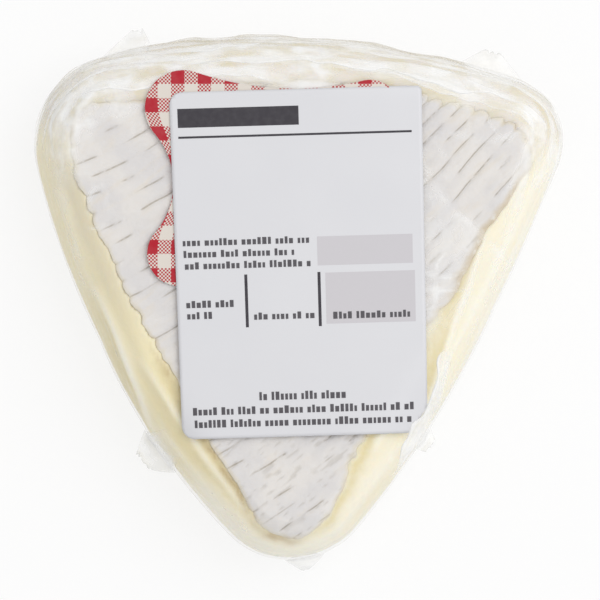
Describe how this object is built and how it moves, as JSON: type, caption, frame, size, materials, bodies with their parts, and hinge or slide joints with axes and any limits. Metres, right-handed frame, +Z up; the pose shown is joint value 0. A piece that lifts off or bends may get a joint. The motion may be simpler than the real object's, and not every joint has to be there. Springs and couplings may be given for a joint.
{
  "type": "film-wrapped wedge of soft white-rind cheese",
  "caption": "Wedge of soft white-rind cheese with bulging cut faces, wrapped in clear film, with a checked sticker and a plain price label on top.",
  "frame": {"origin": "middle of the whole pack's box, at the level of the flat underside", "axes": "+Z up from the flat underside, -Y towards the wedge's tip, +Y towards the back of the wheel, +X to the right when seen from above with the tip towards the viewer"},
  "size_m": [0.1228, 0.1264, 0.0288],
  "materials": {
    "cheese": "soft ivory paste with a white velvety rind",
    "film": "clear glossy stretch film, milky where it is gathered",
    "checked_print": "satin paper with a red and cream check",
    "label_paper": "smooth white thermal paper"
  },
  "bodies": {
    "root": {"cheese": "cheese", "film": "film", "patterned_sticker": "checked_print", "price_label": "label_paper"}
  },
  "joints": []
}
